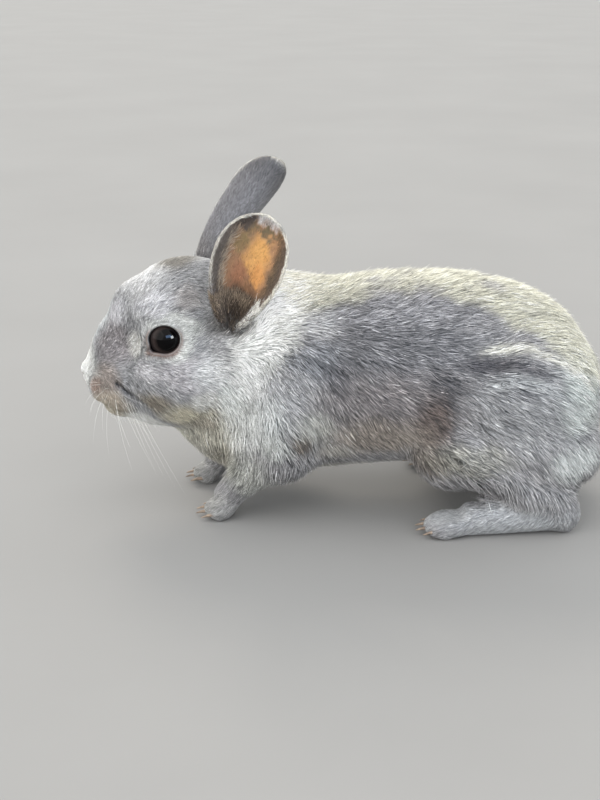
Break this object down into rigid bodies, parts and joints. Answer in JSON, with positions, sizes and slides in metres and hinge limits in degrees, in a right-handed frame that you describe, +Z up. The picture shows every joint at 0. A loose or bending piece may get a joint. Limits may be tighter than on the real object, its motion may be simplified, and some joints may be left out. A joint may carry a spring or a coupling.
{
  "type": "rabbit",
  "caption": "Life-size young dwarf rabbit with a silver-grey coat, standing low on all fours with upright ears, head level with its back.",
  "frame": {"origin": "middle of the bounding box, on the floor under the feet", "axes": "+X forward towards the nose, +Y towards the rabbit's left, +Z up"},
  "size_m": [0.2434, 0.0932, 0.1531],
  "materials": {
    "coat": "soft short fur, silver-grey with a dark slate saddle and cream spine, nape and chest",
    "eye": "wet, glossy, very dark brown with a black pupil"
  },
  "bodies": {
    "root": {"head": "coat", "neck": "coat", "trunk": "coat", "tail": "coat", "foreleg_left": "coat", "foreleg_right": "coat", "forepaw_left": "coat", "forepaw_right": "coat", "hindleg_left": "coat", "hindleg_right": "coat", "hindfoot_left": "coat", "hindfoot_right": "coat", "ear_left": "coat", "ear_right": "coat", "eye_left": "eye", "eye_right": "eye"}
  },
  "joints": []
}
